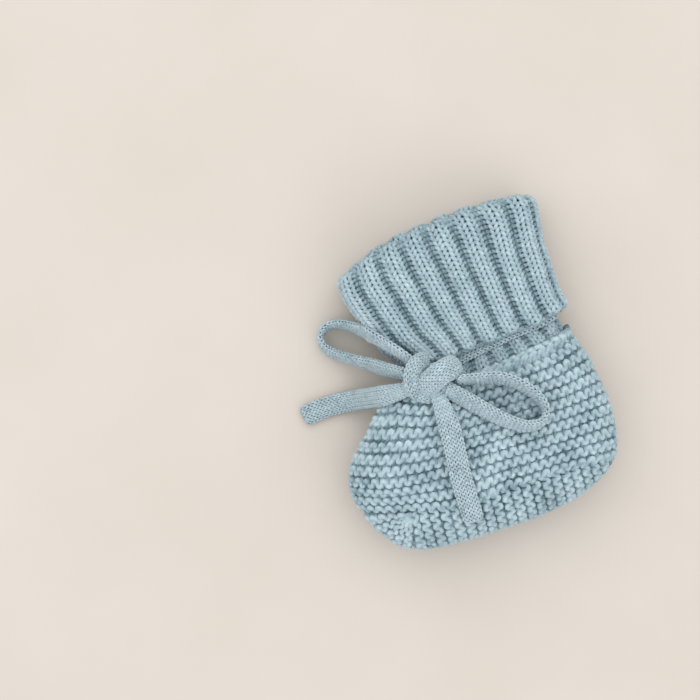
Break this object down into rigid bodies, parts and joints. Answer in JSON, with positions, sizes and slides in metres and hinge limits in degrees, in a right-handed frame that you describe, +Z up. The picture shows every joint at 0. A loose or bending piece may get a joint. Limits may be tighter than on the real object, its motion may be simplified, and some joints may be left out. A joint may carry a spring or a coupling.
{
  "type": "baby bootie",
  "caption": "Knitted baby bootie on its side: garter-stitch foot, sewn-in sole strip, ribbed ankle, turned-down rib cuff and a flat tie in a bow.",
  "frame": {"origin": "middle of the bootie's footprint, on the surface that it lies on, cord left out", "axes": "+X along the sole to the heel, +Y up the leg to the cuff's fold, +Z up from the surface, the bootie lying on its side"},
  "size_m": [0.1039, 0.1092, 0.0381],
  "materials": {
    "garter_knit": "plied cotton yarn in garter stitch, matt",
    "rib_knit": "plied cotton yarn in two by two rib, matt",
    "tie_cord": "fine tubular knit cord, matt",
    "sewing_yarn": "plied cotton sewing yarn, matt"
  },
  "bodies": {
    "bootie": {"foot_near_side": "garter_knit", "foot_far_side": "garter_knit", "sole_strip": "garter_knit", "ankle_band": "rib_knit", "leg_rib": "rib_knit", "cuff_turn_down": "rib_knit", "sole_seam_near": "sewing_yarn", "sole_seam_far": "sewing_yarn", "back_seam": "sewing_yarn", "ankle_tie": "tie_cord", "bow_knot": "tie_cord"},
    "loop_left": {"bow_loop_left": "tie_cord"},
    "loop_right": {"bow_loop_right": "tie_cord"},
    "tail_left": {"bow_tail_left": "tie_cord"},
    "tail_right": {"bow_tail_right": "tie_cord"}
  },
  "joints": [
    {"name": "loop_left_lift", "type": "hinge", "parent": "bootie", "child": "loop_left", "pos_m": [-0.01956, 0.00809, 0.0302], "axis": [0.6971, 0.717, 0], "range_deg": [0, 80]},
    {"name": "loop_right_lift", "type": "hinge", "parent": "bootie", "child": "loop_right", "pos_m": [0.00004, -0.00391, 0.0362], "axis": [-0.5101, -0.8601, 0], "range_deg": [0, 70]},
    {"name": "tail_left_lift", "type": "hinge", "parent": "bootie", "child": "tail_left", "pos_m": [-0.02036, -0.00011, 0.031], "axis": [0, 1, 0], "range_deg": [0, 80]},
    {"name": "tail_right_lift", "type": "hinge", "parent": "bootie", "child": "tail_right", "pos_m": [-0.00836, -0.00591, 0.0362], "axis": [-1, 0, 0], "range_deg": [0, 80]}
  ]
}
